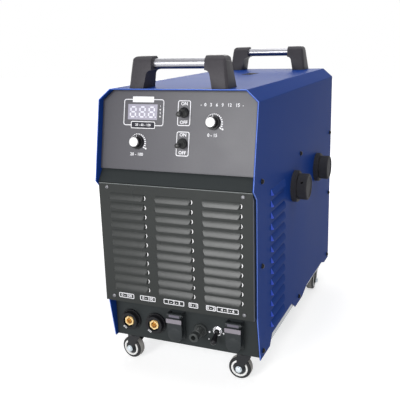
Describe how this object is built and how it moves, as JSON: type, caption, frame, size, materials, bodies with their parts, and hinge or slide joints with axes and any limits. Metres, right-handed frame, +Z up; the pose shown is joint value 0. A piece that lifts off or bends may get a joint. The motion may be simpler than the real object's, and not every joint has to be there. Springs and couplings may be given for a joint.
{
  "type": "plasma cutter unit",
  "caption": "Wheeled plasma cutter with a built-in air pump: blue sheet cover, sloping control panel, louvered front, sockets below, two carrying handles.",
  "frame": {"origin": "on the floor, under the middle of the bounding box", "axes": "+Z up, +Y from the control panel towards the rear panel, +X towards the side with the air filters"},
  "size_m": [0.368, 0.688, 0.65],
  "materials": {
    "cover_paint": "semi-gloss",
    "panel_paint": "semi-gloss",
    "frame_paint": "satin",
    "louver_paint": "satin",
    "zinc_sheet": "satin",
    "steel_screw": "satin",
    "black_screw": "satin",
    "handle_plastic": "matte",
    "black_plastic": "matte",
    "lid_plastic": "semi-gloss",
    "white_plastic": "gloss",
    "chrome_tube": "polished",
    "brass_part": "satin",
    "window_glass": "gloss",
    "boot_rubber": "matte",
    "wheel_tread": "matte",
    "cast_aluminium": "satin",
    "transformer_iron": "satin",
    "capacitor_sleeve": "gloss",
    "board_green": "satin"
  },
  "bodies": {
    "case": {"outer_cover": "cover_paint", "control_panel": "panel_paint", "front_frame": "frame_paint", "louver_plate": "louver_paint", "base_plate": "zinc_sheet", "rear_panel": "frame_paint", "shelf": "zinc_sheet", "cover_screws": "black_screw", "louver_plate_screws": "steel_screw", "handle_bolts": "steel_screw", "front_handle_legs": "handle_plastic", "rear_handle_legs": "handle_plastic", "front_handle_bar": "chrome_tube", "rear_handle_bar": "chrome_tube", "front_air_filter": "black_plastic", "rear_air_filter": "black_plastic", "filter_base_rings": "black_plastic", "potentiometers": "steel_screw", "display_window": "window_glass", "display_module": "black_plastic", "toggle_bushings": "black_plastic", "pump_switch_body": "chrome_tube", "left_output_socket": "black_plastic", "right_output_socket": "black_plastic", "socket_inserts": "brass_part", "torch_fitting": "black_plastic", "left_outlet": "black_plastic", "right_outlet": "black_plastic", "outlet_hinge_pins": "steel_screw", "caster_stems": "zinc_sheet", "compressor_motor": "cast_aluminium", "compressor_heads": "cast_aluminium", "main_transformer": "transformer_iron", "output_choke": "transformer_iron", "heatsink": "cast_aluminium", "power_modules": "black_plastic", "capacitor_bank": "capacitor_sleeve", "control_board": "board_green", "fan_frame": "black_plastic", "breaker": "black_plastic", "mains_gland": "black_plastic", "air_nipple": "brass_part", "solenoid_valve": "brass_part"},
    "left_knob_body": {"left_knob": "black_plastic"},
    "right_knob_body": {"right_knob": "black_plastic"},
    "upper_toggle_body": {"upper_toggle": "boot_rubber"},
    "lower_toggle_body": {"lower_toggle": "boot_rubber"},
    "pump_lever_body": {"pump_switch_lever": "black_plastic"},
    "left_lid_body": {"left_outlet_lid": "lid_plastic"},
    "right_lid_body": {"right_outlet_lid": "lid_plastic"},
    "fan_body": {"fan_rotor": "black_plastic"},
    "breaker_lever_body": {"breaker_lever": "white_plastic"},
    "caster_1_fork_body": {"caster_fork_1": "black_screw"},
    "caster_1_wheel_body": {"caster_wheel_1": "wheel_tread"},
    "caster_2_fork_body": {"caster_fork_2": "black_screw"},
    "caster_2_wheel_body": {"caster_wheel_2": "wheel_tread"},
    "caster_3_fork_body": {"caster_fork_3": "black_screw"},
    "caster_3_wheel_body": {"caster_wheel_3": "wheel_tread"},
    "caster_4_fork_body": {"caster_fork_4": "black_screw"},
    "caster_4_wheel_body": {"caster_wheel_4": "wheel_tread"}
  },
  "joints": [
    {"name": "left_knob_turn", "type": "hinge", "parent": "case", "child": "left_knob_body", "pos_m": [-0.096, -0.31326, 0.48799], "axis": [0, 0.9792, -0.2028], "range_deg": [-150, 150]},
    {"name": "right_knob_turn", "type": "hinge", "parent": "case", "child": "right_knob_body", "pos_m": [0.061, -0.30477, 0.52902], "axis": [0, 0.9792, -0.2028], "range_deg": [-150, 150]},
    {"name": "upper_toggle_flip", "type": "hinge", "parent": "case", "child": "upper_toggle_body", "pos_m": [0.0005, -0.30126, 0.54596], "axis": [-1, 0, 0], "range_deg": [0, 24]},
    {"name": "lower_toggle_flip", "type": "hinge", "parent": "case", "child": "lower_toggle_body", "pos_m": [0.0005, -0.31306, 0.48897], "axis": [-1, 0, 0], "range_deg": [0, 24]},
    {"name": "pump_switch_flip", "type": "hinge", "parent": "case", "child": "pump_lever_body", "pos_m": [0.058, -0.3045, 0.105], "axis": [-1, 0, 0], "range_deg": [0, 64]},
    {"name": "left_lid_swing", "type": "hinge", "parent": "case", "child": "left_lid_body", "pos_m": [-0.03, -0.315, 0.132], "axis": [-1, 0, 0], "range_deg": [0, 100]},
    {"name": "right_lid_swing", "type": "hinge", "parent": "case", "child": "right_lid_body", "pos_m": [0.098, -0.315, 0.132], "axis": [-1, 0, 0], "range_deg": [0, 100]},
    {"name": "fan_spin", "type": "hinge", "parent": "case", "child": "fan_body", "pos_m": [-0.014, 0.3145, 0.4985], "axis": [0, 1, 0], "continuous": true},
    {"name": "breaker_flip", "type": "hinge", "parent": "case", "child": "breaker_lever_body", "pos_m": [-0.132, 0.3135, 0.36], "axis": [1, 0, 0], "range_deg": [0, 50]},
    {"name": "caster_1_swivel", "type": "hinge", "parent": "case", "child": "caster_1_fork_body", "pos_m": [-0.14, -0.281, 0.06], "axis": [0, 0, 1], "continuous": true},
    {"name": "caster_1_spin", "type": "hinge", "parent": "caster_1_fork_body", "child": "caster_1_wheel_body", "pos_m": [-0.15185, -0.27912, 0.024], "axis": [-0.1564, -0.9877, 0], "continuous": true},
    {"name": "caster_2_swivel", "type": "hinge", "parent": "case", "child": "caster_2_fork_body", "pos_m": [0.112, -0.281, 0.06], "axis": [0, 0, 1], "continuous": true},
    {"name": "caster_2_spin", "type": "hinge", "parent": "caster_2_fork_body", "child": "caster_2_wheel_body", "pos_m": [0.1, -0.28121, 0.024], "axis": [0.0175, -0.9998, 0], "continuous": true},
    {"name": "caster_3_swivel", "type": "hinge", "parent": "case", "child": "caster_3_fork_body", "pos_m": [-0.154, 0.236, 0.06], "axis": [0, 0, 1], "continuous": true},
    {"name": "caster_3_spin", "type": "hinge", "parent": "caster_3_fork_body", "child": "caster_3_wheel_body", "pos_m": [-0.15442, 0.22401, 0.024], "axis": [0.9994, -0.0349, 0], "continuous": true},
    {"name": "caster_4_swivel", "type": "hinge", "parent": "case", "child": "caster_4_fork_body", "pos_m": [0.126, 0.236, 0.06], "axis": [0, 0, 1], "continuous": true},
    {"name": "caster_4_spin", "type": "hinge", "parent": "caster_4_fork_body", "child": "caster_4_wheel_body", "pos_m": [0.12642, 0.22401, 0.024], "axis": [0.9994, 0.0349, 0], "continuous": true}
  ]
}
